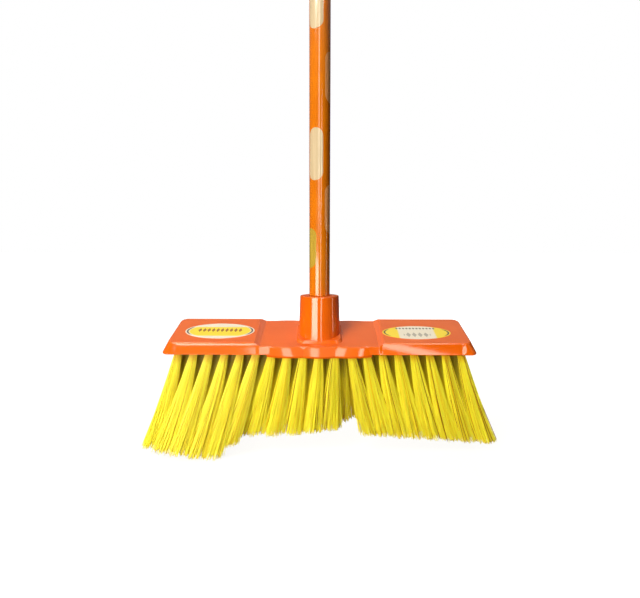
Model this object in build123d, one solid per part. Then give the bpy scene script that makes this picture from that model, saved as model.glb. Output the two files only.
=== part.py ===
from build123d import *
from math import ceil, cos, radians, sin, sqrt, tan
import os

# Broom: a moulded head with five rows of anchored tufts, and a film-covered stick that screws into it.
# Millimetres. +Z runs up the handle, +X along the head, and -Y is the front, where the labels face.
# The origin is on the handle's axis, at the lower end of its film.

# Handle
handle_diameter = 22.0
film_thickness = 0.35
film_length = 1150.0
turning_gap = 0.05          # between the core and the pieces that turn around it
shoulder_gap = 0.1          # between the core's shoulders and the pieces at its ends
upper_spigot_length = 22.0

# Screw joint between handle and socket
thread_pitch = 4.5
thread_turns = 5.25
thread_depth = 1.5
thread_root_width = 2.6
thread_crest_width = 1.2
thread_gap = 0.35           # all round the tip's thread
thread_step = 0.4           # from the collar's radius in to the thread's crest
collar_step = 0.3           # from the film's radius in to the collar's
collar_length = 7.7
collar_gap = 0.5            # around the collar in the socket's mouth
seat_gap = 0.3              # under the collar, and between film and socket
tip_lead = 1.4              # plain length at each end of the thread
tip_wall = 2.75
tip_floor = 8.6
tip_end_gap = 2.0

# Hanging cap
cap_step = 0.2              # from the film's radius in to the cap's
cap_wall = 2.55
cap_crown = 5.9             # over the stick's end
cap_lug_thickness = 9.0
cap_lug_shoulder = 5.0
hang_hole_radius = 4.0
hang_hole_margin = 2.2      # from the lug's shoulder to the hole

# Head, in its own frame: x along it, y to the back, z out of the pads' tops
head_tilt = 16.4            # degrees between the handle and the head's upright
pad_length = 315.6          # over both pads, at the top
pad_depth = 60.0
corner_radius = 8.0
lip_corner_radius = 6.0
skirt_height = 11.2
skirt_run = 6.2             # how far the skirt flares out to its lip
edge_rounding = 2.0
middle_edge_rounding = 1.2
lip_rounding = 0.6
cover_wall = 2.2
middle_drop = 3.4           # how far the middle zone lies below the pads
middle_width = 124.0
seam = 0.02                 # by which one surface stands inside the other where two run together
ramp_run = 5.5
ramp_rounding = 4.0
cover_ribs = 5              # under each pad, standing on the block
cover_rib_width = 1.8

# Lobed apron in front of the middle zone, and the same behind it
apron_width = 109.0
apron_lobe_width = 33.0     # the middle one of three lobes
apron_reach = 3.2           # past the skirt's lip
apron_drop = 2.2            # below the skirt's lip
apron_top_reach = 1.2       # of the lobes' tops, past the skirt
apron_bevel = 1.0           # around the lobes' tops
apron_sink = 0.1            # of the lobes' tops, below the middle zone
apron_lobe_rise = 1.6
apron_side_rise = 1.9

# Handle socket
socket_draft = 2.3
socket_wall = 2.4
socket_rim = 3.0
socket_tube_wall = 2.4
socket_space = 4.8          # between the threaded tube and the socket's outer wall
socket_ribs = 6
socket_rib_width = 2.0
socket_floor = 0.1          # how far the bore goes below the pads' plane
rim_rounding = 1.0
plinth_height = 2.8
plinth_slope = 1.8
plinth_ledge = 0.1          # around the socket, on top of the plinth
plinth_corner = 7.0

# Tuft block and tufts
block_gap = 0.15
tuft_columns = 19
tuft_end_inset = 9.2        # from the ends of the pads' tops to the first and last column
row_count = 5
row_inset = 4.8             # from the front of the pads' tops to the first row
tuft_radius = 3.4
tuft_hole_gap = 0.05
tuft_hole_floor = 1.1       # of the block, over the holes
slice_thickness = 1.6       # layer of the block's face that carries the tufts
slice_inset = 2.0           # the layer stands back from the block's edge
anchor_bite = 0.35          # into the wall of the hole at each end
anchor_width = 0.8
anchor_height = 1.8
anchor_cover = 0.6          # tuft left above its anchor

# Strands: each stands for many filaments of its tuft
strands_round_tuft = 4      # and one in the middle
strand_circle = 3.1         # across the strands around the middle one, at the root
strand_root_radius = 0.95
strand_tip_radius = 1.5
strand_spread_x = 5.6
strand_spread_y = 5.0
strand_bend_at = 0.5        # share of the length where a strand bends
strand_bend_share = 0.4     # share of the lean that it has there
row_fan = 1.3               # rows stand this much further apart at the tips
even_lean = 0.21            # lean along x for each mm from the middle, where the curtain opens evenly
# Groups of columns lean their own way. Each has its first and last column, then three values, at its
# first, middle and last column, for the free length, the lean along x and the lean along y, and last the
# share of its last row's lean that is even. Its first row has none.
tuft_groups = [
    (1, 4, (111.8, 112.2, 116.0), (-34, -34.6, -33.9), (-14, -25.9, -27.3), 0),
    (5, 6, (117.4, 114.5, 107.8), (-33.9, -34.2, -34.6), (-26, -22, -16), 0),
    (7, 11, (101.5, 98.5, 94.5), (-25, -13, -4), (0, 0, 4), 0.9),
    (12, tuft_columns, (100.5, 106.0, 114.0), (23, 27, 38), (0, 0, 0), 1),
]

# Labels
label_thickness = 0.2
left_label_depth = 36.2
right_label_depth = 31.2
left_label_end_gap = 12.0   # from the end of the pad's top
right_label_end_gap = 16.2
left_label_ramp_gap = 3.3   # from the top of the ramp
right_label_ramp_gap = 0.5
left_label_forward = 2.2    # from the head's middle line
right_label_forward = 5.2

# Sizes of the handle's pieces, from the stick outwards and from the film's end downwards
film_inner_radius = handle_diameter / 2 - film_thickness
core_radius = film_inner_radius - turning_gap
collar_radius = handle_diameter / 2 - collar_step
thread_crest_radius = collar_radius - thread_step
thread_root_radius = thread_crest_radius - thread_depth
lower_spigot_radius = thread_root_radius - tip_wall - turning_gap
thread_top = -collar_length - tip_lead - thread_root_width / 2
thread_bottom = thread_top - thread_turns * thread_pitch
tip_bottom = thread_bottom - thread_root_width / 2 - tip_lead
lower_spigot_bottom = tip_bottom + tip_floor + shoulder_gap
cap_radius = handle_diameter / 2 - cap_step
upper_spigot_radius = cap_radius - cap_wall - turning_gap
upper_spigot_top = film_length + upper_spigot_length
cap_shoulder = upper_spigot_top + shoulder_gap + cap_crown
hang_hole_height = cap_shoulder + cap_lug_shoulder + hang_hole_margin + hang_hole_radius
cap_top = hang_hole_height + cap_radius

# Socket, around the tip
mouth = -seat_gap
seat = -collar_length - seat_gap
bore_floor = tip_bottom - tip_end_gap
pad_plane = bore_floor + socket_floor
bore_radius = thread_root_radius + thread_gap
groove_radius = thread_crest_radius + thread_gap
mouth_bore_radius = collar_radius + collar_gap
tube_radius = mouth_bore_radius + socket_tube_wall
mouth_radius = tube_radius + socket_space + socket_wall
socket_foot = pad_plane - mouth_radius

# Levels and outlines of the head
wall_across = cover_wall * sqrt(1 + (skirt_run / skirt_height) ** 2)
ceiling = -cover_wall
middle_top = -middle_drop
middle_ceiling = middle_top - cover_wall
block_top = middle_ceiling - block_gap
ramp_crest = middle_width / 2 + ramp_run
face_level = -skirt_height
root_level = face_level - slice_thickness
hole_top = block_top - tuft_hole_floor
tuft_top = hole_top - tuft_hole_gap
anchor_top = tuft_top - anchor_cover
tuft_pitch = (pad_length - 2 * tuft_end_inset) / (tuft_columns - 1)
row_pitch = (pad_depth - 2 * row_inset) / (row_count - 1)
first_x = -pad_length / 2 + tuft_end_inset
first_y = -pad_depth / 2 + row_inset
from_below = (Align.CENTER, Align.CENTER, Align.MIN)


def at_head(shape):
    """Places a shape made in the head's own frame on the handle's axis."""
    return Pos(0, 0, pad_plane) * Rot(head_tilt, 0, 0) * shape


def ring(outer_radius, inner_radius, low, high):
    """A tube, or a disc where the inner radius is 0, on the handle's axis."""
    solid = Pos(0, 0, low) * Cylinder(outer_radius, high - low, align=from_below)
    if inner_radius > 0:
        solid -= Pos(0, 0, low) * Cylinder(inner_radius, high - low, align=from_below)
    return solid


def helical_ridge(root_radius, crest_radius, root_width, crest_width, low, turns):
    """A right-hand thread ridge of trapezium section, from the height low upwards."""
    path = Helix(thread_pitch, turns * thread_pitch, root_radius)
    depth = crest_radius - root_radius
    corners = [(0, -root_width / 2), (depth, -crest_width / 2), (depth, crest_width / 2), (0, root_width / 2)]
    start = Plane(origin=path @ 0, x_dir=(1, 0, 0), z_dir=path % 0)
    ridge = sweep(start * make_face(Polyline(*corners, close=True)), path=path, is_frenet=True)
    return Pos(0, 0, low) * ridge


def thread_ridge(gap, low, turns):
    """The tip's thread, sunk a little into its body, or the socket's groove with a gap all round it."""
    sunk = thread_depth / 5
    flank = (thread_root_width - thread_crest_width) / thread_depth
    return helical_ridge(
        thread_root_radius + gap - sunk,
        thread_crest_radius + gap,
        thread_root_width + flank * sunk + 2 * gap,
        thread_crest_width + 2 * gap,
        low,
        turns,
    )


# Handle pieces
def make_handle_core():
    low = shoulder_gap
    high = film_length - shoulder_gap
    core = ring(core_radius, 0, low, high)
    core += ring(lower_spigot_radius, 0, lower_spigot_bottom, low)
    core += ring(upper_spigot_radius, 0, high, upper_spigot_top)
    return core


def make_handle_sleeve():
    return ring(handle_diameter / 2, film_inner_radius, 0, film_length)


def make_threaded_tip():
    tip = ring(thread_root_radius, 0, tip_bottom, 0)
    tip = chamfer(tip.edges().sort_by(Axis.Z)[0], tip_lead / 2)
    tip += ring(collar_radius, 0, -collar_length, 0)
    tip += thread_ridge(0, thread_bottom, thread_turns)
    tip -= ring(lower_spigot_radius + turning_gap, 0, lower_spigot_bottom - shoulder_gap, 0)
    return tip


def make_hanger_cap():
    """A round cap over the stick's end, with a flat lug and a hole through it."""
    cap = ring(cap_radius, 0, film_length, hang_hole_height)
    cap += Pos(0, 0, hang_hole_height) * Sphere(cap_radius)
    half_lug = cap_lug_thickness / 2
    outline = Polyline(
        (half_lug, 2 * cap_top),
        (half_lug, cap_shoulder + cap_lug_shoulder),
        (cap_radius, cap_shoulder),
        (2 * cap_radius, cap_shoulder),
        (2 * cap_radius, 2 * cap_top),
        close=True,
    )
    side = extrude(Plane.YZ * make_face(outline), 2 * cap_radius, both=True)
    cap -= side
    cap -= mirror(side, Plane.XZ)
    cap -= Pos(0, 0, hang_hole_height) * Rot(90, 0, 0) * Cylinder(hang_hole_radius, 2 * cap_radius)
    cap -= ring(upper_spigot_radius + turning_gap, 0, film_length, upper_spigot_top + shoulder_gap)
    return cap


# Head cover
def skirt_offset(z):
    """How far the skirt stands outside the pads' top outline at the height z."""
    return -skirt_run * z / skirt_height


def round_corner(face, before, corner, after, radius):
    """Rounds a corner of an outline, by no more than the straight sides next to it allow."""
    into = Vector(*corner) - Vector(*before)
    away = Vector(*after) - Vector(*corner)
    turn = radians(into.get_angle(away))
    limit = 0.48 * min(into.length, away.length) / tan(turn / 2)
    vertex = face.vertices().sort_by_distance((corner[0], corner[1], 0))[0]
    return fillet(vertex, min(radius, limit))


def make_pad_block():
    """The whole outline of the head at the pads' height, with a skirt that flares out to its lip."""
    top = RectangleRounded(pad_length, pad_depth, corner_radius)
    lip = RectangleRounded(pad_length + 2 * skirt_run, pad_depth + 2 * skirt_run, lip_corner_radius)
    block = loft([Pos(0, 0, -skirt_height) * lip, top], ruled=True)
    block = fillet(block.edges().group_by(Axis.Z)[-1], edge_rounding)
    return fillet(block.edges().group_by(Axis.Z)[0], lip_rounding)


def make_middle_block():
    """The top of the lower middle zone, with rounded edges. It stands a hair inside the skirt."""
    bottom = middle_top - 2 * edge_rounding
    low = pad_depth / 2 + skirt_offset(bottom) - seam
    high = pad_depth / 2 + skirt_offset(middle_top) - seam
    outline = [(-low, bottom), (low, bottom), (high, middle_top), (-high, middle_top)]
    face = make_face(Polyline(*outline, close=True))
    for k in (2, 3):
        face = round_corner(face, outline[k - 1], outline[k], outline[(k + 1) % 4], middle_edge_rounding)
    return extrude(Plane.YZ * face, ramp_crest + ramp_run, both=True)


def make_ramp_cutter():
    """The space over the middle zone, with ramps that round into the pads' tops."""
    deep = middle_top - edge_rounding
    foot = ramp_crest + deep * ramp_run / middle_drop
    past = ramp_crest + 2 * ramp_rounding
    points = [(foot, deep), (ramp_crest, 0), (past, 0), (past, cover_wall)]
    outline = points + [(-x, z) for x, z in reversed(points)]
    face = make_face(Polyline(*outline, close=True))
    face = round_corner(face, outline[0], outline[1], outline[2], ramp_rounding)
    face = round_corner(face, outline[5], outline[6], outline[7], ramp_rounding)
    return extrude(Plane.XZ * face, pad_depth, both=True)


def apron_outline(reach, ends, z):
    """Plan of the apron at the height z: three lobes, and ends that lie in the skirt."""
    front = -pad_depth / 2
    half = apron_width / 2
    lobe = apron_lobe_width / 2
    crease = front - reach + apron_lobe_rise
    end = front - ends
    side_x = (half + lobe) / 2
    side_y = (end + crease) / 2 - apron_side_rise
    inner = front + corner_radius
    edges = [
        ThreePointArc((-half, end), (-side_x, side_y), (-lobe, crease)),
        ThreePointArc((-lobe, crease), (0, front - reach), (lobe, crease)),
        ThreePointArc((lobe, crease), (side_x, side_y), (half, end)),
        Polyline((half, end), (half, inner), (-half, inner), (-half, end)),
    ]
    return Pos(0, 0, z) * make_face(edges)


def make_apron():
    """Three lobes that hang a little below the skirt, with bevelled tops just under the middle zone."""
    shoulder = middle_top - apron_sink - apron_bevel
    lip_reach = skirt_run + apron_reach
    lip_ends = skirt_run - lip_rounding
    top_reach = skirt_offset(shoulder) + apron_top_reach
    top_ends = skirt_offset(shoulder) - lip_rounding
    sections = [
        apron_outline(lip_reach, lip_ends, -skirt_height - apron_drop),
        apron_outline(lip_reach, lip_ends, -skirt_height),
        apron_outline(top_reach, top_ends, shoulder),
        apron_outline(top_reach - apron_bevel, top_ends - apron_bevel, shoulder + apron_bevel),
    ]
    return loft(sections, ruled=True)


def socket_radius(z):
    """Outside radius of the socket at a height on the handle's axis."""
    return mouth_radius + (mouth - z) * tan(radians(socket_draft))


def make_plinth():
    """A low base with sloped sides, just wider than the socket's foot."""
    half_width = socket_radius(pad_plane) + plinth_ledge
    half_depth = socket_radius(pad_plane) / cos(radians(head_tilt)) + plinth_ledge
    top = RectangleRounded(2 * half_width, 2 * half_depth, plinth_corner)
    base = RectangleRounded(2 * (half_width + plinth_slope), 2 * (half_depth + plinth_slope), plinth_corner)
    return loft([Pos(0, 0, middle_top) * base, Pos(0, 0, middle_top + plinth_height) * top], ruled=True)


def make_socket_cone():
    cone = Cone(socket_radius(socket_foot), mouth_radius, mouth - socket_foot, align=from_below)
    cone = fillet(cone.edges().sort_by(Axis.Z)[-1], rim_rounding)
    return Pos(0, 0, socket_foot) * cone


def make_socket_hollow():
    """The ring-shaped space between the socket's outside and its threaded tube, with ribs left across it."""
    top = mouth - socket_rim
    height = top - socket_foot
    low_radius = socket_radius(socket_foot) - socket_wall
    high_radius = socket_radius(top) - socket_wall
    hollow = Pos(0, 0, socket_foot) * Cone(low_radius, high_radius, height, align=from_below)
    hollow -= ring(tube_radius, 0, socket_foot, top)
    rib = Pos(mouth_radius, 0, socket_foot + height / 2) * Box(2 * mouth_radius, socket_rib_width, height)
    for k in range(socket_ribs):
        hollow -= Rot(0, 0, 360 / socket_ribs * (k + 0.5)) * rib
    return hollow


def make_socket_bore():
    """The bore with its wider mouth for the tip's collar, and its thread's groove, half a turn deeper."""
    bore = ring(bore_radius, 0, bore_floor, mouth)
    bore += ring(mouth_bore_radius, 0, seat, mouth)
    start = thread_bottom - thread_pitch / 2
    bore += thread_ridge(thread_gap, start, ceil((seat - start) / thread_pitch))
    return Rot(0, 0, 180) * bore


def inner_outline(z, gap):
    """Outline of the space inside the skirt at the height z, less a gap."""
    offset = skirt_offset(z) - wall_across - gap
    outline = RectangleRounded(pad_length + 2 * offset, pad_depth + 2 * offset, corner_radius - cover_wall)
    return Pos(0, 0, z) * outline


def make_cover_hollow():
    """The space under the cover: lower in the middle zone, with ribs left under the pads."""
    hollow = loft([inner_outline(-skirt_height, 0), inner_outline(ceiling, 0)], ruled=True)
    hollow += extrude(inner_outline(-skirt_height, 0), -2 * mouth_radius)
    middle_half = ramp_crest + cover_wall
    middle_height = ceiling - middle_ceiling
    hollow -= Pos(0, 0, middle_ceiling) * Box(2 * middle_half, 2 * pad_depth, middle_height, align=from_below)
    rib = Pos(0, 0, block_top) * Box(cover_rib_width, 2 * pad_depth, ceiling - block_top, align=from_below)
    rib_step = (pad_length / 2 - middle_half) / (cover_ribs + 1)
    for k in range(cover_ribs):
        x = middle_half + rib_step * (k + 1)
        hollow -= Pos(x, 0, 0) * rib
        hollow -= Pos(-x, 0, 0) * rib
    return hollow


def make_head_cover():
    body = make_pad_block() - make_ramp_cutter()
    apron = make_apron()
    body = body.fuse(make_middle_block(), apron, mirror(apron, Plane.XZ), make_plinth())
    cover = at_head(body).fuse(make_socket_cone())
    cover -= at_head(make_cover_hollow())
    cover -= make_socket_hollow()
    return cover - make_socket_bore()


# Tuft block and tufts
def tuft_places(column):
    """Middle points of a column's tufts, front to back. Every second row is shifted by half a pitch."""
    places = []
    for row in range(row_count):
        shift = tuft_pitch / 2 if row % 2 else 0
        if shift and column == tuft_columns - 1:
            continue
        places.append((first_x + column * tuft_pitch + shift, first_y + row * row_pitch))
    return places


def all_tuft_places():
    return [place for column in range(tuft_columns) for place in tuft_places(column)]


def make_tuft_block():
    block = loft([inner_outline(face_level, block_gap), inner_outline(block_top, block_gap)], ruled=True)
    hole = Cylinder(tuft_radius + tuft_hole_gap, hole_top - face_level, align=from_below)
    return block.cut(*[Pos(x, y, face_level) * hole for x, y in all_tuft_places()])


def make_anchor(x, y):
    length = 2 * (tuft_radius + tuft_hole_gap + anchor_bite)
    return Pos(x, y, anchor_top - anchor_height) * Box(length, anchor_width, anchor_height, align=from_below)


def through_three(values, share):
    """A smooth curve through a first, a middle and a last value."""
    first, middle, last = values
    return (
        first * (1 - share) * (1 - 2 * share)
        + middle * 4 * share * (1 - share)
        + last * share * (2 * share - 1)
    )


def tuft_lean(x, y):
    """Free length and lean along x and y of a tuft."""
    place = (x - first_x) / tuft_pitch + 1
    first, last, lengths, side_leans, back_leans, even = next(g for g in tuft_groups if place < g[1] + 1)
    share = min((place - first) / (last - first), 1)
    length, aside, back = (through_three(values, share) for values in (lengths, side_leans, back_leans))
    even *= (y - first_y) / (-2 * first_y)
    return length, aside * (1 - even) + even_lean * x * even, back


def triangle(x, y, z, radius):
    corners = [(radius * cos(radians(a)), radius * sin(radians(a))) for a in (90, 210, 330)]
    return Pos(x, y, z) * make_face(Polyline(*corners, close=True))


def make_strand(root_x, root_y, tip_x, tip_y, tip_z):
    """One bent strand of three sides, from inside the slice to its tip."""
    start_z = root_level + slice_thickness / 2
    bend_z = root_level + (tip_z - root_level) * strand_bend_at
    bend_x = root_x + (tip_x - root_x) * strand_bend_share
    bend_y = root_y + (tip_y - root_y) * strand_bend_share
    bend_radius = (strand_root_radius + strand_tip_radius) / 2
    sections = [
        triangle(root_x, root_y, start_z, strand_root_radius),
        triangle(bend_x, bend_y, bend_z, bend_radius),
        triangle(tip_x, tip_y, tip_z, strand_tip_radius),
    ]
    return loft(sections, ruled=True)


def make_tuft(x, y):
    """A tuft's root in its hole, and the strands that fan out of it."""
    length, lean_x, lean_y = tuft_lean(x, y)
    tip_x = x + lean_x
    tip_y = y * row_fan + lean_y
    tip_z = root_level - sqrt(length**2 - lean_x**2 - lean_y**2)
    root = Cylinder(tuft_radius, tuft_top - face_level, align=from_below)
    pieces = [Pos(x, y, face_level) * root, make_strand(x, y, tip_x, tip_y, tip_z)]
    for k in range(strands_round_tuft):
        angle = radians(360 / strands_round_tuft * (k + 0.5))
        root_x = x + strand_circle / 2 * cos(angle)
        root_y = y + strand_circle / 2 * sin(angle)
        out_x = strand_spread_x * sqrt(2) * cos(angle)
        out_y = strand_spread_y * sqrt(2) * sin(angle)
        pieces.append(make_strand(root_x, root_y, tip_x + out_x, tip_y + out_y, tip_z))
    return pieces


def make_tuft_column(column):
    """The column's slice of the block's face, with its tufts' roots and strands in one solid."""
    left = first_x + (column - 0.25) * tuft_pitch
    right = left + tuft_pitch
    if column == 0:
        left = -pad_length
    if column == tuft_columns - 1:
        right = pad_length
    layer = extrude(inner_outline(face_level, block_gap + slice_inset), -slice_thickness)
    strip = Box(right - left, 2 * pad_depth, slice_thickness, align=from_below)
    layer &= Pos((left + right) / 2, 0, root_level) * strip
    places = tuft_places(column)
    pieces = [piece for x, y in places for piece in make_tuft(x, y)]
    return layer.fuse(*pieces).cut(*[make_anchor(x, y) for x, y in places])


def make_label(side, end_gap, ramp_gap, forward, depth):
    """A thin oval on the pad's top, side 1 on the right and -1 on the left."""
    inner = ramp_crest + ramp_gap
    outer = pad_length / 2 - end_gap
    oval = extrude(Ellipse((outer - inner) / 2, depth / 2), label_thickness)
    return Pos(side * (outer + inner) / 2, -forward, 0) * oval


os.makedirs("parts", exist_ok=True)
shapes = {
    "handle_core": make_handle_core(),
    "handle_sleeve": make_handle_sleeve(),
    "threaded_tip": make_threaded_tip(),
    "hanger_cap": make_hanger_cap(),
    "head_cover": make_head_cover(),
    "tuft_block": at_head(make_tuft_block()),
    "tuft_anchors": Compound([at_head(make_anchor(x, y)) for x, y in all_tuft_places()]),
    "label_left": at_head(
        make_label(-1, left_label_end_gap, left_label_ramp_gap, left_label_forward, left_label_depth)
    ),
    "label_right": at_head(
        make_label(1, right_label_end_gap, right_label_ramp_gap, right_label_forward, right_label_depth)
    ),
}
for column in range(tuft_columns):
    shapes[f"tufts_{column + 1:02d}"] = at_head(make_tuft_column(column))
for name, shape in shapes.items():
    export_step(shape, f"parts/{name}.step")
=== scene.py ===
# %% [markdown]
# # A screw-handle broom
# The real broom has three parts that we notice: a glossy orange moulded head, a thick curtain of
# lemon-yellow plastic bristles, and a stick wrapped in printed film. The solids of the head and the handle
# already have the right shape, so this lesson gives them good surfaces, and grows the bristles anew.

import math

import bpy
from mathutils import Matrix, Vector


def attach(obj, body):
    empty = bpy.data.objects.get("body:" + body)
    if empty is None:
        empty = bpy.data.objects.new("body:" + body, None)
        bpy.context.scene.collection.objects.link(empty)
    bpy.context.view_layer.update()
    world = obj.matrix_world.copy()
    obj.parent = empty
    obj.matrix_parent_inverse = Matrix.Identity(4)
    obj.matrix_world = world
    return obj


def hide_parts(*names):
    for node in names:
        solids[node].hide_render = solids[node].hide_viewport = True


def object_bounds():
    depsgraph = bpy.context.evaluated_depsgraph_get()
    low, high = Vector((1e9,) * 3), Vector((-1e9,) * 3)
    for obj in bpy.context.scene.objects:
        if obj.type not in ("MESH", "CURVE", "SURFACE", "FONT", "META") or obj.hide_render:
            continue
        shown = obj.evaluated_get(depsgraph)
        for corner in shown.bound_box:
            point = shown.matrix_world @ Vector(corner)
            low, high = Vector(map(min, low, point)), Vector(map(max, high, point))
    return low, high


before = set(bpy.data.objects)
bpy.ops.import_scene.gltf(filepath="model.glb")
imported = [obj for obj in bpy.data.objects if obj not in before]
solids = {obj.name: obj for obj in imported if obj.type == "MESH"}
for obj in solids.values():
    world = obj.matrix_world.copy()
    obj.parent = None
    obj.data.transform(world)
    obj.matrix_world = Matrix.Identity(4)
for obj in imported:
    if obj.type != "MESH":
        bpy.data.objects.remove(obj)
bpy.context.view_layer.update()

# %% [markdown]
# ## Where things are
# The handle stands upright on the Z axis, and the head is tilted towards us below it. Sizes of the head are
# easier to read in its own tilted frame, in millimetres, so one matrix takes them from there to the scene.

# %% The head's frame
MM = 0.001
head_tilt = math.radians(16.4)
pads_level = -38.625 * MM
head_place = Matrix.Translation((0, 0, pads_level)) @ Matrix.Rotation(head_tilt, 4, "X")
print("head frame sits at", tuple(head_place.translation))

# %% [markdown]
# ## The camera
# The photograph was taken from close by, a little above the head, and without any tilt to the side. The place
# comes from lining up the handle, the socket, the pads' corners and the roots of the front tufts. The lens is
# written as a focal length in pixels of an image 640 wide, which is how such a fit gives it.

# %% Photo camera
image_width = 640
focal_pixels = 476.75
look_down = math.radians(22.32)
look_left = math.radians(0.38)
camera_data = bpy.data.cameras.new("photo_camera")
camera_data.sensor_fit = "HORIZONTAL"
camera_data.sensor_width = 36
camera_data.lens = camera_data.sensor_width * focal_pixels / image_width
camera_data.shift_x = -0.6 / image_width
camera = bpy.data.objects.new("photo_camera", camera_data)
bpy.context.collection.objects.link(camera)
stand = Matrix.Translation(Vector((4.33, -469.1, 229.49)) * MM)
aim = Matrix.Rotation(look_left, 4, "Z") @ Matrix.Rotation(math.pi / 2 - look_down, 4, "X")
camera.matrix_world = head_place @ stand @ aim
bpy.context.scene.camera = camera
bpy.context.scene.view_settings.view_transform = "Standard"
print("camera at", tuple(camera.matrix_world.translation))

# %% [markdown]
# ## Writing node trees as sums
# Materials and Geometry Nodes are graphs, and graphs made by hand in code are long. A small class that wraps
# a socket lets us write `1 - mask * 0.5`, and adds the Math nodes by itself. One method makes any other node.


# %% Sums on sockets
class Signal:
    """An output socket. A sum on it adds Math nodes to its tree."""

    def __init__(self, recipe, socket):
        self.recipe = recipe
        self.socket = socket

    def math(self, operation, *others):
        return self.recipe.node("ShaderNodeMath", {"operation": operation}, dict(enumerate((self, *others))))

    def also(self, name):
        return Signal(self.recipe, self.socket.node.outputs[name])

    def __add__(self, other):
        return self.math("ADD", other)

    def __sub__(self, other):
        return self.math("SUBTRACT", other)

    def __rsub__(self, number):
        return self.recipe.node("ShaderNodeMath", {"operation": "SUBTRACT"}, {0: number, 1: self})

    def __mul__(self, other):
        return self.math("MULTIPLY", other)

    def __truediv__(self, other):
        return self.math("DIVIDE", other)

    def __pow__(self, other):
        return self.math("POWER", other)

    __radd__ = __add__
    __rmul__ = __mul__


class Recipe:
    """A node tree being written."""

    def __init__(self, tree):
        self.tree = tree

    def node(self, kind, settings=None, sockets=None, out=0):
        made = self.tree.nodes.new(kind)
        for name, value in (settings or {}).items():
            setattr(made, name, value)
        for name, value in (sockets or {}).items():
            if isinstance(value, Signal):
                self.tree.links.new(value.socket, made.inputs[name])
            else:
                made.inputs[name].default_value = value
        return Signal(self, made.outputs[out])

    def vector(self, operation, *values, out=0):
        return self.node("ShaderNodeVectorMath", {"operation": operation}, dict(enumerate(values)), out)

    def step(self, value, low, high, start=0.0, end=1.0):
        """Rises smoothly from start to end while the value goes from low to high."""
        sockets = {"Value": value, "From Min": low, "From Max": high, "To Min": start, "To Max": end}
        return self.node("ShaderNodeMapRange", {"interpolation_type": "SMOOTHSTEP"}, sockets)

    def blend(self, factor, first, second):
        """A colour between two colours."""
        sockets = {0: factor, 6: first, 7: second}
        return self.node("ShaderNodeMix", {"data_type": "RGBA"}, sockets, out=2)

    def split(self, point):
        """The X of a point, with its Y and Z beside it."""
        return self.node("ShaderNodeSeparateXYZ", {}, {"Vector": point}, out="X")


class Finish(Recipe):
    """A material: its tree, and its Principled shader."""

    def __init__(self, name, **constants):
        self.material = bpy.data.materials.new(name)
        self.material.use_nodes = True
        super().__init__(self.material.node_tree)
        self.shader = self.tree.nodes["Principled BSDF"]
        for socket, value in constants.items():
            self.shader.inputs[socket.replace("_", " ")].default_value = value

    def place(self, origin=(0, 0, 0), turn=(0, 0, 0)):
        """Object coordinates, counted from an origin and turned with the piece."""
        point = self.node("ShaderNodeTexCoord", out="Object")
        sockets = {"Vector": point, "Location": origin, "Rotation": turn}
        return self.node("ShaderNodeMapping", {"vector_type": "TEXTURE"}, sockets)

    def noise(self, point, scale, detail=2.0, roughness=0.5):
        sockets = {"Vector": point, "Scale": scale, "Detail": detail, "Roughness": roughness}
        return self.node("ShaderNodeTexNoise", {}, sockets)

    def bump(self, height, distance):
        return self.node("ShaderNodeBump", {}, {"Height": height, "Distance": distance, "Strength": 1.0})

    def attribute(self, name):
        return self.node("ShaderNodeAttribute", {"attribute_name": name}, out="Fac")

    def feed(self, **signals):
        for socket, signal in signals.items():
            self.tree.links.new(signal.socket, self.shader.inputs[socket.replace("_", " ")])
        return self.material


def srgb(red, green, blue):
    """A colour as a photo editor names it, from 0 to 255, made linear."""
    parts = []
    for value in (red, green, blue):
        share = value / 255
        parts.append(share / 12.92 if share <= 0.04045 else ((share + 0.055) / 1.055) ** 2.4)
    return (*parts, 1.0)


print("node helpers ready")

# %% [markdown]
# ## Moulded plastic
# The head is injection-moulded polypropylene: one strong colour all through, a smooth skin with a faint
# pebble from the mould, and a gloss that is a little uneven. A noise with a grain of about a millimetre gives
# the pebble as a bump, and a much larger one varies the colour and the gloss. The skirt under the pads is a
# little hollow, as moulded plates are, so its reflections bend. That is a bump too: a parabola over its
# height. The flat tops are less glossy than the sides, as a mould's wide faces often are.

# %% Plastic finishes
skirt_height = 11.2 * MM
pad_start = 66 * MM
pad_end = 153 * MM
inner_fade = 4 * MM
outer_fade = 6 * MM
pebble_scale = 900
cloud_scale = 22
scuff_scale = 140


def hollow_skirt(finish, point):
    """0 at the skirt's upper and lower edges, -1 halfway between them."""
    parts = finish.split(point)
    from_middle = parts.also("Z") * (2 / skirt_height) + 1
    aside = parts.math("ABSOLUTE")
    past_start = finish.step(aside, pad_start - inner_fade, pad_start)
    before_end = finish.step(aside, pad_end, pad_end - outer_fade)
    return ((from_middle * from_middle).math("MINIMUM", 1.0) - 1) * past_start * before_end


def flat_tops(finish):
    """1 where a face looks up, square to the head's plates."""
    up = head_place.to_3x3() @ Vector((0, 0, 1))
    facing = finish.node("ShaderNodeNewGeometry", out="Normal")
    return finish.step(finish.vector("DOT_PRODUCT", facing, up, out="Value"), 0.9, 0.98)


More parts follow.
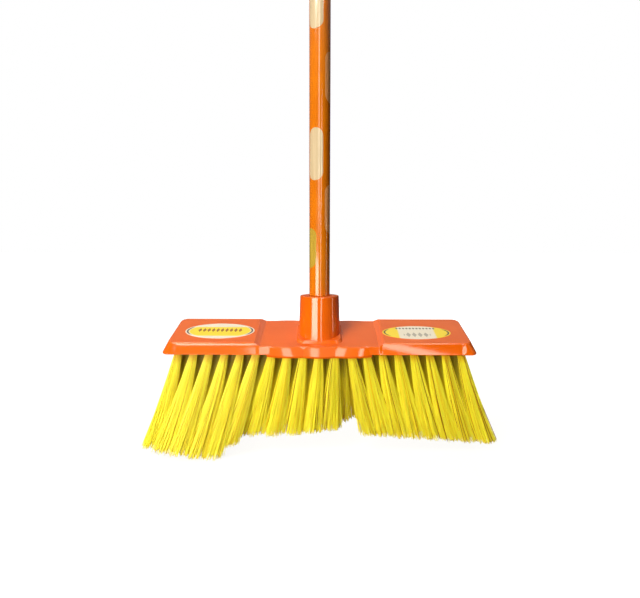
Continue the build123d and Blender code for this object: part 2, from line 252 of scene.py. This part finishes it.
def moulded_plastic(name, colour, deep_colour, gloss_low, gloss_high, pebble, hollow=0.0, satin=0.0):
    finish = Finish(name, IOR=1.5)
    point = finish.place((0, 0, pads_level), (head_tilt, 0, 0))
    cloud = finish.noise(point, cloud_scale, 3)
    scuff = finish.step(finish.noise(point, scuff_scale, 4, 0.7), 0.52, 0.72)
    rough = gloss_low + (gloss_high - gloss_low) * (cloud * 0.6 + scuff * 0.4)
    relief = finish.noise(point, pebble_scale, 2) * pebble
    if satin:
        rough += flat_tops(finish) * satin
    if hollow:
        relief += hollow_skirt(finish, point) * hollow
    return finish.feed(
        Base_Color=finish.blend(finish.step(cloud, 0.3, 0.7), colour, deep_colour),
        Roughness=rough,
        Normal=finish.bump(relief, MM),
    )


head_plastic = moulded_plastic(
    "head_plastic", srgb(230, 100, 0), srgb(224, 94, 0), 0.07, 0.14, 0.015, hollow=0.45, satin=0.25
)
block_plastic = moulded_plastic("block_plastic", srgb(236, 96, 2), srgb(226, 88, 0), 0.35, 0.5, 0.04)
tip_plastic = moulded_plastic("tip_plastic", srgb(232, 100, 8), srgb(222, 90, 4), 0.35, 0.5, 0.04)
cap_plastic = moulded_plastic("cap_plastic", srgb(240, 108, 8), srgb(232, 98, 4), 0.18, 0.3, 0.03)
print("plastics:", head_plastic.name, block_plastic.name, tip_plastic.name, cap_plastic.name)

# %% [markdown]
# ## Printed film on the stick
# A thin glossy film is shrunk on the wooden stick. It is orange with long spots, most of them cream, printed
# in columns that climb the stick. Around a cylinder a column is an angle, so each spot is drawn where the
# angle and the height are near its middle: the distance to a short upright line, which gives straight sides
# and round ends. The wood's grain shows through as long shallow waves, which make the reflections wander.

# %% Film finish
stick_radius = 11 * MM
spot_half_width = 8.4 * MM
spot_softness = 0.25 * MM
spot_margin = 3 * MM
film_stretch = (1, 1, 0.03)
film_grain_scale = 420
film_cloud_scale = 30
# two tones of each ink
cream = (srgb(207, 188, 156), srgb(195, 174, 139))
tan = (srgb(228, 160, 102), srgb(216, 148, 92))
mustard = (srgb(184, 154, 54), srgb(172, 142, 48))
# angle to the right of the front in degrees, then height of the lowest spot, distance to the next one and
# half length in mm, then ink
spot_columns = [
    (-25, 147.4, 149.8, 26.6, cream),
    (74, 91.3, 133.2, 25.5, tan),
    (-62, 50.7, 299.6, 21.0, mustard),
    (165, 22.0, 141.0, 26.0, cream),
    (-128, 121.0, 146.0, 26.0, cream),
]


def film_finish():
    finish = Finish("handle_film", IOR=1.5)
    point = finish.place()
    across = finish.split(point)
    height = across.also("Z")
    around = across.math("ARCTAN2", across.also("Y") * -1)
    grain = finish.noise(finish.vector("MULTIPLY", point, film_stretch), film_grain_scale, 3)
    cloud = finish.noise(point, film_cloud_scale, 3)
    colour = finish.blend(finish.step(cloud, 0.3, 0.7), srgb(212, 116, 4), srgb(202, 106, 2))
    for angle, level, step, half, tones in spot_columns:
        aside = (around - math.radians(angle)).math("WRAP", math.pi, -math.pi) * stick_radius
        along = (height - level * MM).math("WRAP", step / 2 * MM, -step / 2 * MM).math("ABSOLUTE")
        past = (along - (half * MM - spot_half_width)).math("MAXIMUM", 0.0)
        distance = (aside * aside + past * past).math("SQRT")
        spot = finish.step(distance, spot_half_width + spot_softness, spot_half_width - spot_softness)
        lowest = (level - half) * MM - spot_margin
        spot *= finish.step(height, lowest - MM, lowest)
        ink = finish.blend(finish.step(grain, 0.3, 0.7), *tones)
        colour = finish.blend(spot, colour, ink)
    return finish.feed(
        Base_Color=colour,
        Roughness=0.09 + cloud * 0.07,
        Normal=finish.bump(grain, 0.05 * MM),
    )


handle_film = film_finish()
print("film with", len(spot_columns), "columns of spots")

# %% [markdown]
# ## Wood and steel inside
# The core and the anchors hardly show, but someone may take the part apart. Wood is rings around the stick,
# pulled long along it. Steel strip is grey with fine drawn lines.

# %% Wood and steel finishes
wood_stretch = (1, 1, 0.04)
wood_scale = 260
ring_count = 9
strip_stretch = (0.05, 1, 1)
strip_scale = 2500


def wood_finish():
    finish = Finish("stick_wood", Roughness=0.6)
    grain = finish.noise(finish.vector("MULTIPLY", finish.place(), wood_stretch), wood_scale, 5, 0.6)
    rings = (grain * ring_count).math("FRACT")
    colour = finish.blend(finish.step(rings, 0.1, 0.9), srgb(214, 180, 134), srgb(188, 148, 100))
    return finish.feed(Base_Color=colour, Normal=finish.bump(grain, 0.1 * MM))


def steel_finish():
    finish = Finish("anchor_steel", Metallic=1.0)
    lines = finish.noise(finish.vector("MULTIPLY", finish.place(), strip_stretch), strip_scale, 2)
    colour = finish.blend(lines, srgb(196, 198, 202), srgb(150, 152, 158))
    return finish.feed(Base_Color=colour, Roughness=0.25 + lines * 0.2)


stick_wood = wood_finish()
anchor_steel = steel_finish()
print("hidden finishes:", stick_wood.name, anchor_steel.name)

# %% [markdown]
# ## Oval stickers
# Two paper ovals are stuck on the pads. Ours carry no words: white with a yellow field, a thin dark line near
# the pointed ends, and a row of small diamonds. In a frame that is centred and turned with a sticker, an
# ellipse is where x and y, each divided by its half size, make a circle. So one number, 1 at the edge, draws
# the border and the line. The fraction of x over a step, minus a half, repeats a shape along a row.

# %% Sticker finish
fibre_scale = 1500


def diamonds(finish, x, y, step, level, half_height, reach):
    """A row of diamonds along x, at a level in y."""
    aside = ((x / step).math("FRACT") - 0.5).math("ABSOLUTE") * 2
    off = ((y - level) / half_height).math("ABSOLUTE")
    return finish.step(aside + off, 1.0, 0.7) * finish.step(x.math("ABSOLUTE"), reach, reach - 0.02)


def sticker_finish(name, middle, half_size, yellow_at_ends):
    origin = head_place @ (Vector((*middle, 0)) * MM)
    finish = Finish(name, Roughness=0.35)
    point = finish.place(origin, (head_tilt, 0, 0))
    parts = finish.split(point)
    x = parts / (half_size[0] * MM)
    y = parts.also("Y") / (half_size[1] * MM)
    edge = (x * x + y * y).math("SQRT")
    ends = finish.step(x.math("ABSOLUTE"), 0.72, 0.9)
    line = finish.step(edge, 0.9, 0.925) * finish.step(edge, 0.975, 0.95) * ends
    if yellow_at_ends:
        field = finish.step(x.math("ABSOLUTE"), 0.5, 0.56)
        marks = diamonds(finish, x, y, 0.1, 0.62, 0.16, 0.6)
        marks += diamonds(finish, x, y, 0.17, -0.35, 0.4, 0.4) * 0.6
        ink = srgb(120, 118, 112)
    else:
        low_edge = finish.step(y, -0.72, -0.64)
        field = low_edge * finish.step(y, 0.56, 0.46) * finish.step(edge, 0.92, 0.86)
        marks = diamonds(finish, x, y, 0.13, 0.08, 0.3, 0.66)
        ink = srgb(150, 96, 14)
    fibres = finish.noise(point, fibre_scale, 3)
    white = finish.blend(fibres, srgb(240, 235, 222), srgb(232, 226, 212))
    inside = finish.blend(field, white, srgb(246, 220, 52))
    printed = finish.blend(marks.math("MINIMUM", 1.0), inside, ink)
    return finish.feed(
        Base_Color=finish.blend(line, printed, srgb(70, 44, 44)),
        Normal=finish.bump(fibres, 0.01 * MM),
    )


left_sticker = sticker_finish("label_left_print", (-108.3, -2.2), (37.5, 18.1), False)
right_sticker = sticker_finish("label_right_print", (104.8, -5.2), (36.8, 15.6), True)
print("stickers:", left_sticker.name, right_sticker.name)

# %% [markdown]
# ## Dress the solids
# Each solid that stays gets its finish in place of the plain colour it came with.

# %% Finishes on solids
finishes = {
    "handle_core": stick_wood,
    "handle_sleeve": handle_film,
    "threaded_tip": tip_plastic,
    "hanger_cap": cap_plastic,
    "head_cover": head_plastic,
    "tuft_block": block_plastic,
    "tuft_anchors": anchor_steel,
    "label_left": left_sticker,
    "label_right": right_sticker,
}
for name, material in finishes.items():
    solid = solids[name]
    solid.data.materials.clear()
    solid.data.materials.append(material)
print("dressed", len(finishes), "solids")

# %% [markdown]
# ## Tufts
# A tuft is a bundle of filaments, folded over an anchor and pressed into a hole. There are five rows, and
# every second row sits half a step aside. The curtain has been bent by use into three groups: one swept to
# the left and forward, one nearly straight, and one swept to the right. The left one is given in two
# stretches, because its tips turn a corner. For each tuft we need its root and how far its tip is from there.
# Three numbers for each stretch, at its first, middle and last column, with a curve through them, say that.

# %% Tuft places
tuft_columns = 19
first_x = -148.6
tuft_pitch = -2 * first_x / (tuft_columns - 1)
row_count = 5
row_pitch = 12.6
first_y = -(row_count - 1) / 2 * row_pitch
root_level = -12.8
row_fan = 1.3
even_lean = 0.21
# first and last column, then free length, lean along x and lean along y at its first, middle and last column,
# and how much of its last row's lean is even, like a curtain that opens from the middle
tuft_groups = [
    (1, 4, (111.8, 112.2, 116.0), (-34, -34.6, -33.9), (-14, -25.9, -27.3), 0),
    (5, 6, (117.4, 114.5, 107.8), (-33.9, -34.2, -34.6), (-26, -22, -16), 0),
    (7, 11, (101.5, 98.5, 94.5), (-25, -13, -4), (0, 0, 4), 0.9),
    (12, 19, (100.5, 106.0, 114.0), (23, 27, 38), (0, 0, 0), 1),
]


def through_three(values, share):
    first, middle, last = values
    curve = first * (1 - share) * (1 - 2 * share) + middle * 4 * share * (1 - share)
    return curve + last * share * (2 * share - 1)


def tuft_reach(x, y):
    """From a tuft's root to the middle of its tip, in mm."""
    place = (x - first_x) / tuft_pitch + 1
    first, last, *curves, even = next(group for group in tuft_groups if place < group[1] + 1)
    share = min((place - first) / (last - first), 1)
    length, aside, back = (through_three(values, share) for values in curves)
    even *= (y - first_y) / (-2 * first_y)
    aside += (even_lean * x - aside) * even
    drop = math.sqrt(length**2 - aside**2 - back**2)
    return Vector((aside, y * (row_fan - 1) + back, -drop))


def tufts_of(column):
    tufts = []
    for row in range(row_count):
        shift = tuft_pitch / 2 if row % 2 else 0
        if column < tuft_columns - 1 or not shift:
            x = first_x + column * tuft_pitch + shift
            y = first_y + row * row_pitch
            tufts.append((Vector((x, y, root_level)), tuft_reach(x, y), row / (row_count - 1)))
    return tufts


print(sum(len(tufts_of(column)) for column in range(tuft_columns)), "tufts")

# %% [markdown]
# ## A tree that grows filaments
# Hair particles could do this, but they don't export. Geometry Nodes can: each tuft is one point that carries
# its reach. The point is copied once for each filament, and the copies fill a disc in a sunflower pattern,
# which spreads them evenly. A line on each copy is then bent: it leans a little more towards its tip, opens
# out quickly at first because the hole squeezes it, and wanders a little. A square swept along it is enough
# at this thickness.

# %% Filament tree
golden_angle = 2.39996
straight_share = 0.82
opening_power = 0.8
back_row_spread = 0.3
stray_spread = 0.3
section_corners = 4


def geometry_tree(name, inputs):
    """An empty tree with named inputs: its recipe, its inputs as signals, and their identifiers."""
    tree = bpy.data.node_groups.new(name, "GeometryNodeTree")
    tree.interface.new_socket("Geometry", in_out="INPUT", socket_type="NodeSocketGeometry")
    keys = {}
    for label, kind in inputs.items():
        socket = tree.interface.new_socket(label, in_out="INPUT", socket_type=f"NodeSocket{kind}")
        keys[label] = socket.identifier
    tree.interface.new_socket("Geometry", in_out="OUTPUT", socket_type="NodeSocketGeometry")
    recipe = Recipe(tree)
    start = tree.nodes.new("NodeGroupInput")
    given = {socket.name: Signal(recipe, socket) for socket in start.outputs if socket.name}
    return recipe, given, keys


def filament_tree():
    recipe, given, keys = geometry_tree(
        "filament_tufts",
        {
            "Filaments": "Int",
            "Steps": "Int",
            "Root radius": "Float",
            "Spread along": "Float",
            "Spread across": "Float",
            "Thickness": "Float",
            "Uneven ends": "Float",
            "Waviness": "Float",
            "Seed": "Int",
            "Material": "Material",
        },
    )

    def dice(low, high, offset):
        sockets = {2: low, 3: high, 8: given["Seed"] + offset}
        return recipe.node("FunctionNodeRandomValue", {"data_type": "FLOAT"}, sockets, out=1)

    def keep(shape, label, value, kind="FLOAT"):
        settings = {"data_type": kind, "domain": "POINT"}
        sockets = {"Geometry": shape, "Name": label, "Value": value}
        return recipe.node("GeometryNodeStoreNamedAttribute", settings, sockets)

    def kept(label, kind="FLOAT"):
        settings = {"data_type": kind}
        return recipe.node("GeometryNodeInputNamedAttribute", settings, {"Name": label}, "Attribute")

    def joined(x, y, z):
        return recipe.node("ShaderNodeCombineXYZ", {}, {"X": x, "Y": y, "Z": z})

    tufts = recipe.node("GeometryNodeMeshToPoints", {}, {"Mesh": given["Geometry"]})
    bundle = {"Geometry": tufts, "Amount": given["Filaments"]}
    copies = recipe.node("GeometryNodeDuplicateElements", {"domain": "POINT"}, bundle)
    number = copies.also("Duplicate Index")
    turn = number * golden_angle + dice(0.0, 0.7, 1)
    out = ((number + 0.5) / given["Filaments"]) ** 0.5
    spot = joined(turn.math("COSINE") * out, turn.math("SINE") * out, 0.0)
    points = keep(copies, "spot", spot, "FLOAT_VECTOR")
    points = keep(points, "root", recipe.node("GeometryNodeInputPosition"), "FLOAT_VECTOR")
    points = keep(points, "shade", dice(0.0, 1.0, 2))
    points = keep(points, "end", dice(-1.0, 1.0, 3))
    points = keep(points, "phase", dice(0.0, 6.28, 4))
    points = keep(points, "stray", dice(0.0, 1.0, 5) ** 6)
    line = recipe.node("GeometryNodeCurvePrimitiveLine", {}, {"End": (0, 0, -0.1)})
    stations = {"Curve": line, "Count": given["Steps"]}
    line = recipe.node("GeometryNodeResampleCurve", {"mode": "COUNT"}, stations)
    lines = recipe.node("GeometryNodeInstanceOnPoints", {}, {"Points": points, "Instance": line})
    lines = recipe.node("GeometryNodeRealizeInstances", {}, {"Geometry": lines})
    along = recipe.node("GeometryNodeSplineParameter", out="Factor")
    lines = keep(lines, "along", along)
    reach = kept("reach", "FLOAT_VECTOR")
    bend = along * straight_share + along * along * (1 - straight_share)
    length = 1 + kept("end") * given["Uneven ends"]
    lean = recipe.vector("MULTIPLY", reach, joined(bend, bend, along * length))
    opened = along**opening_power
    stray = 1 + kept("stray") * along * stray_spread
    broad = given["Spread along"] * (1 + kept("row") * back_row_spread)
    wide = (given["Root radius"] + (broad - given["Root radius"]) * opened) * stray
    deep = (given["Root radius"] + (given["Spread across"] - given["Root radius"]) * opened) * stray
    fan = recipe.vector("MULTIPLY", kept("spot", "FLOAT_VECTOR"), joined(wide, deep, 0.0))
    swing = given["Waviness"] * along
    wave = joined(
        (along * 7 + kept("phase")).math("SINE") * swing,
        (along * 6 + kept("phase") * 1.7).math("SINE") * swing,
        0.0,
    )
    middle = recipe.vector("ADD", kept("root", "FLOAT_VECTOR"), lean)
    position = recipe.vector("ADD", middle, recipe.vector("ADD", fan, wave))
    lines = recipe.node("GeometryNodeSetPosition", {}, {"Geometry": lines, "Position": position})
    square = {"Resolution": section_corners, "Radius": 1.0}
    section = recipe.node("GeometryNodeCurvePrimitiveCircle", {}, square)
    sweep = {"Curve": lines, "Profile Curve": section, "Scale": given["Thickness"], "Fill Caps": True}
    filaments = recipe.node("GeometryNodeCurveToMesh", {}, sweep)
    flat = {"Geometry": filaments, "Shade Smooth": False}
    filaments = recipe.node("GeometryNodeSetShadeSmooth", {}, flat)
    filaments = recipe.node("GeometryNodeRealizeInstances", {}, {"Geometry": filaments})
    dressed = {"Geometry": filaments, "Material": given["Material"]}
    filaments = recipe.node("GeometryNodeSetMaterial", {}, dressed)
    recipe.tree.links.new(filaments.socket, recipe.tree.nodes.new("NodeGroupOutput").inputs["Geometry"])
    return recipe.tree, keys


filaments_tree, filament_keys = filament_tree()
print("tree with", len(filaments_tree.nodes), "nodes")

# %% [markdown]
# ## Bristle finish
# Extruded filaments are all one yellow, but each catches the light by itself, so each gets its own shade. A
# few lie in the shadow of others and look dark, less so in the left group, which leans into the light. They
# are deeper in colour near the root and in the rows behind, where light is lost, and a little dull at the cut
# ends. The roots of the inner rows get a painted shade of brown. Thin filaments also let light through and
# pass it on inside the tuft. A very faint glow stands for that.

# %% Bristle colour
shaded_share = 0.055


def bristle_finish():
    finish = Finish("bristle_filament", IOR=1.48, Emission_Strength=0.06)
    shade, along, row = (finish.attribute(name) for name in ("shade", "along", "row"))
    own = finish.blend(finish.step(shade, 0.0, 0.4), srgb(234, 197, 0), srgb(255, 247, 62))
    own = finish.blend(row * 0.35, own, srgb(214, 156, 0))
    away_from_light = finish.step(finish.split(finish.place()), -60 * MM, -20 * MM, 0.4, 1.0)
    shaded = finish.step(shade, shaded_share + 0.01, shaded_share) * away_from_light
    own = finish.blend(shaded, own, srgb(150, 88, 0))
    colour = finish.blend(finish.step(along, 0.0, 0.12), srgb(226, 176, 0), own)
    # painted shade: the roots of the inner rows turn brown, where the rows around them keep the light out
    inner_row = finish.step((row - 0.5).math("ABSOLUTE"), 0.5, 0.25)
    colour = finish.blend(inner_row * finish.step(along, 0.5, 0.05, 0.0, 0.8), colour, srgb(104, 72, 0))
    colour = finish.blend(finish.step(along, 0.975, 1.0, 0.0, 0.5), colour, srgb(196, 170, 20))
    return finish.feed(Base_Color=colour, Emission_Color=colour, Roughness=0.38 + shade * 0.16)


bristle = bristle_finish()
print("bristles:", bristle.name)

# %% [markdown]
# ## Grow the bristles
# One piece for each column of tufts stands for that column's solid. The modifier's inputs are set by their
# identifiers before anything is evaluated, the result is turned into a plain mesh, and the mesh is moved
# into the scene's frame, so that every object stays at the origin.


# %% Bristle columns
def grow_column(column):
    tufts = tufts_of(column)
    seedbed = bpy.data.meshes.new("tuft_points")
    seedbed.from_pydata([root * MM for root, reach, row in tufts], [], [])
    reaches = [value * MM for root, reach, row in tufts for value in reach]
    seedbed.attributes.new("reach", "FLOAT_VECTOR", "POINT").data.foreach_set("vector", reaches)
    rows = [row for root, reach, row in tufts]
    seedbed.attributes.new("row", "FLOAT", "POINT").data.foreach_set("value", rows)
    bed = bpy.data.objects.new("tuft_bed", seedbed)
    bpy.context.collection.objects.link(bed)
    modifier = bed.modifiers.new("grow", "NODES")
    modifier.node_group = filaments_tree
    sizes = {
        "Filaments": 200,
        "Steps": 8,
        "Root radius": 3.6 * MM,
        "Spread along": 11.5 * MM,
        "Spread across": 7.0 * MM,
        "Thickness": 0.27 * MM,
        "Uneven ends": 0.01,
        "Waviness": 0.5 * MM,
        "Seed": 40 + column * 17,
        "Material": bristle,
    }
    for label, value in sizes.items():
        modifier[filament_keys[label]] = value
    grown = bed.evaluated_get(bpy.context.evaluated_depsgraph_get())
    mesh = bpy.data.meshes.new_from_object(grown)
    bpy.data.objects.remove(bed)
    for label in ("spot", "root", "end", "phase", "stray", "reach"):
        if label in mesh.attributes:
            mesh.attributes.remove(mesh.attributes[label])
    mesh.transform(head_place)
    piece = bpy.data.objects.new(f"bristles_{column + 1:02d}", mesh)
    bpy.context.collection.objects.link(piece)
    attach(piece, "head")
    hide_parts(f"tufts_{column + 1:02d}")
    return piece


bristle_pieces = [grow_column(column) for column in range(tuft_columns)]
first_mesh = bristle_pieces[0].data
print(len(bristle_pieces), "bristle pieces, the first with", len(first_mesh.polygons), "faces")
print("attributes:", [attribute.name for attribute in first_mesh.attributes])

# %% [markdown]
# ## The face that carries the tufts
# The solids of the tufts also held a thin layer of the block's face, so we put that back as one plate.

# %% Tuft face
face_length = 318.6
face_depth = 63.0
face_corner = 5.8
corner_steps = 8
# height in the head's frame, and how far the outline there is drawn in
face_levels = [(-11.2, 0), (-12.3, 0), (-12.65, 0.15), (-12.8, 0.5)]


def face_outline(inset):
    """A rectangle with round corners, drawn in by an inset."""
    radius = face_corner - inset
    points = []
    for k, (side, end) in enumerate(((1, 1), (-1, 1), (-1, -1), (1, -1))):
        for j in range(corner_steps + 1):
            angle = math.pi / 2 * (k + j / corner_steps)
            x = side * (face_length / 2 - face_corner) + radius * math.cos(angle)
            y = end * (face_depth / 2 - face_corner) + radius * math.sin(angle)
            points.append((x, y))
    return points


def make_face_plate():
    points = [(x, y, z) for z, inset in face_levels for x, y in face_outline(inset)]
    count = len(points) // len(face_levels)
    last = len(points) - count
    faces = [list(range(count)), list(reversed(range(last, len(points))))]
    for upper in range(0, last, count):
        lower = upper + count
        for k in range(count):
            j = (k + 1) % count
            faces.append([upper + j, upper + k, lower + k, lower + j])
    mesh = bpy.data.meshes.new("tuft_face")
    mesh.from_pydata([Vector(point) * MM for point in points], [], faces)
    mesh.transform(head_place)
    mesh.materials.append(block_plastic)
    return bpy.data.objects.new("tuft_face", mesh)


tuft_face = make_face_plate()
bpy.context.collection.objects.link(tuft_face)
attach(tuft_face, "head")
print("face plate", len(tuft_face.data.polygons), "faces")

# %% [markdown]
# ## The studio
# The photograph is a cut-out on white, lit from the upper left. So the world is white where we look straight
# at it or through something clear, and gives only moderate light, less of it from the right. In reflections
# it is a dim room with a bright ceiling, because the glossy plastic in the photograph stays deep in colour.
# The floor glows just enough for the camera to come out white, faintly in reflections, and still takes the
# shadow.

# %% World and floor
warm_white = (1.0, 0.94, 0.82)
ceiling = 0.8
floor_mirrored = 0.06
world = bpy.data.worlds.new("studio")
bpy.context.scene.world = world
world.use_nodes = True
sky = Recipe(world.node_tree)
rays = sky.node("ShaderNodeLightPath", out="Is Camera Ray")
seen = (rays + rays.also("Is Transmission Ray")).math("MINIMUM", 1.0)
mirrored = rays.also("Is Glossy Ray")
heading = sky.split(sky.node("ShaderNodeTexCoord", out="Generated"))
low_down = sky.step(heading, -0.2, 0.5, 0.14, 0.02)
overhead = sky.step(heading.also("Z"), 0.28, 0.6)
reflected = low_down + (ceiling - low_down) * overhead
light = sky.step(heading.also("Z"), 0.5, 0.95, 0.1, 0.42) * sky.step(heading, -0.3, 0.7, 1.0, 0.5)
strength = seen + (1 - seen) * (light + mirrored * (reflected - light))
backdrop = sky.tree.nodes["Background"]
tint = sky.blend(seen, (*warm_white, 1), (1, 1, 1, 1))
sky.tree.links.new(tint.socket, backdrop.inputs["Color"])
sky.tree.links.new(strength.socket, backdrop.inputs["Strength"])

floor_mesh = bpy.data.meshes.new("floor")
floor_half = 30.0
floor_gap = 0.3 * MM
floor_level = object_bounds()[0].z - floor_gap
corners = [(-1, -1), (1, -1), (1, 1), (-1, 1)]
corners = [(x * floor_half, y * floor_half, floor_level) for x, y in corners]
floor_mesh.from_pydata(corners, [], [(0, 1, 2, 3)])
floor = bpy.data.objects.new("floor", floor_mesh)
bpy.context.collection.objects.link(floor)
floor_finish = bpy.data.materials.new("floor_paper")
floor_finish.use_nodes = True
paper = Recipe(floor_finish.node_tree)
rays = paper.node("ShaderNodeLightPath", out="Is Camera Ray")
seen = rays + rays.also("Is Transmission Ray") + rays.also("Is Glossy Ray") * floor_mirrored
seen = seen.math("MINIMUM", 1.0)
place = paper.node("ShaderNodeTexCoord", out="Object")
away = paper.vector("LENGTH", paper.vector("MULTIPLY", place, (1, 1, 0)), out="Value")
level = paper.step(away, 0.2, 0.9, 0.89, 1.0)
glow = paper.node("ShaderNodeEmission", {}, {"Color": (1, 1, 1, 1), "Strength": seen * level})
matt = paper.node("ShaderNodeBsdfDiffuse", {}, {"Color": (0.18, 0.18, 0.18, 1)})
both = paper.node("ShaderNodeAddShader", {}, {0: glow, 1: matt})
surface = paper.tree.nodes["Material Output"].inputs["Surface"]
paper.tree.links.new(both.socket, surface)
floor_mesh.materials.append(floor_finish)
print("floor at", floor_level)

# %% [markdown]
# ## Lamps
# A broad lamp from the upper left shapes the head and throws the socket's shadow to the right. A soft fill
# from the front left lifts the bristles, but isn't mirrored. A low, wide lamp on the left makes the highlight
# on the socket. Four strips only make reflections: a slanting one the band on the right part of the skirt,
# and the others the soft line along the stick, bright lines on the head's front edges, and a thin line on the
# socket's dark side. The last lamp lights the broom from behind.


# %% Softboxes
def softbox(name, place, target, width, height, power, roll=0.0):
    data = bpy.data.lights.new(name, "AREA")
    data.shape = "RECTANGLE"
    data.size = width
    data.size_y = height
    data.energy = power
    data.color = warm_white
    lamp = bpy.data.objects.new(name, data)
    aim = (Vector(target) - Vector(place)).to_track_quat("-Z", "Y").to_matrix().to_4x4()
    lamp.matrix_world = Matrix.Translation(place) @ aim @ Matrix.Rotation(math.radians(roll), 4, "Z")
    lamp.visible_camera = False
    bpy.context.collection.objects.link(lamp)
    return lamp


# name, place, target, width, height, watts, and roll in degrees
softbox("key", (-0.7, -0.8, 1.1), (0, 0, -0.05), 0.6, 0.6, 15.5)
fill = softbox("fill", (-0.42, -0.95, 0.12), (0, 0, -0.1), 0.5, 0.5, 5.5)
fill.visible_glossy = False
softbox("gleam", (-0.477, -0.936, -0.07), (0, 0, -0.03), 0.6, 0.18, 5)
band = softbox("band", (0.255, -0.9, 0.17), (0.1, 0, -0.05), 0.09, 0.7, 1.9, -22)
upright = softbox("upright", (-0.13, -1.0, 0.45), (0, 0, 0.1), 0.2, 0.7, 3.4)
edge = softbox("edge", (0, -0.6, 0.75), (0, 0, -0.05), 1.1, 0.14, 13)
rim = softbox("rim", (0.9, -0.14, 0.0), (0, 0, -0.02), 0.05, 0.3, 0.35)
behind = softbox("behind", (0.3, 1.2, 0.3), (0, 0, 0.1), 0.8, 0.8, 16)
behind.visible_glossy = False
for lamp in (band, upright, edge, rim):
    lamp.visible_diffuse = False
